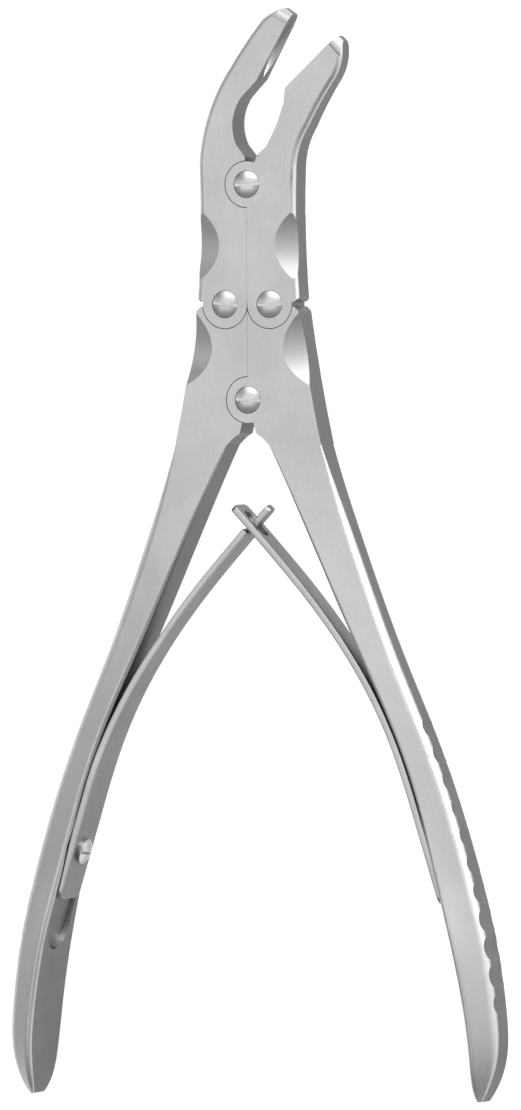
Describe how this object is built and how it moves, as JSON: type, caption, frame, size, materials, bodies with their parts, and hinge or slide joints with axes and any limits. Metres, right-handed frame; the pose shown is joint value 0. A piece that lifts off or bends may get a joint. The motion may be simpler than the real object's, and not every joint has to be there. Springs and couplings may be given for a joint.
{
  "type": "bone rongeur",
  "caption": "Double-action bone rongeur with cupped jaws curved to one side, crossed leaf springs and serrated grips, shown fully open.",
  "frame": {"origin": "On the flat back face of the joint, on the axis of the handle pivot.", "axes": "+X across the instrument, towards the side that the jaws curve to. +Y along it, towards the jaws. +Z out of the front face of the joint, along the pivot axes."},
  "size_m": [0.0892, 0.1833, 0.0135],
  "materials": {
    "satin_steel": "satin stainless steel",
    "screw_steel": "turned and polished stainless steel",
    "spring_steel": "fine-ground stainless spring steel"
  },
  "bodies": {
    "left_handle": {"left_handle": "satin_steel", "left_spring": "spring_steel", "left_spring_screw": "screw_steel", "left_link_screw": "screw_steel", "handle_pivot_screw": "screw_steel"},
    "right_handle": {"right_handle": "satin_steel", "right_spring": "spring_steel", "right_spring_screw": "screw_steel", "right_link_screw": "screw_steel"},
    "left_jaw": {"left_jaw": "satin_steel", "jaw_pivot_screw": "screw_steel"},
    "right_jaw": {"right_jaw": "satin_steel"}
  },
  "joints": [
    {"name": "handle_pivot", "type": "hinge", "parent": "left_handle", "child": "right_handle", "pos_m": [0, 0, 0.00285], "axis": [0, 0, -1], "range_deg": [0, 21.95], "stiffness_Nm_per_rad": 2, "springref_deg": -8.59, "deforming": ["left_spring", "right_spring"]},
    {"name": "left_link_pivot", "type": "hinge", "parent": "left_handle", "child": "left_jaw", "pos_m": [-0.00407, 0.01608, 0.00285], "axis": [0, 0, -1], "range_deg": [0, 19.7]},
    {"name": "jaw_pivot", "type": "hinge", "parent": "left_jaw", "child": "right_jaw", "pos_m": [0, 0.03625, 0.00285], "axis": [0, 0, 1], "range_deg": [0, 17.4]}
  ],
  "couplings": [
    {"joint": "left_link_pivot", "follows": "handle_pivot", "ratio": 0.895},
    {"joint": "jaw_pivot", "follows": "handle_pivot", "ratio": 0.78975}
  ]
}
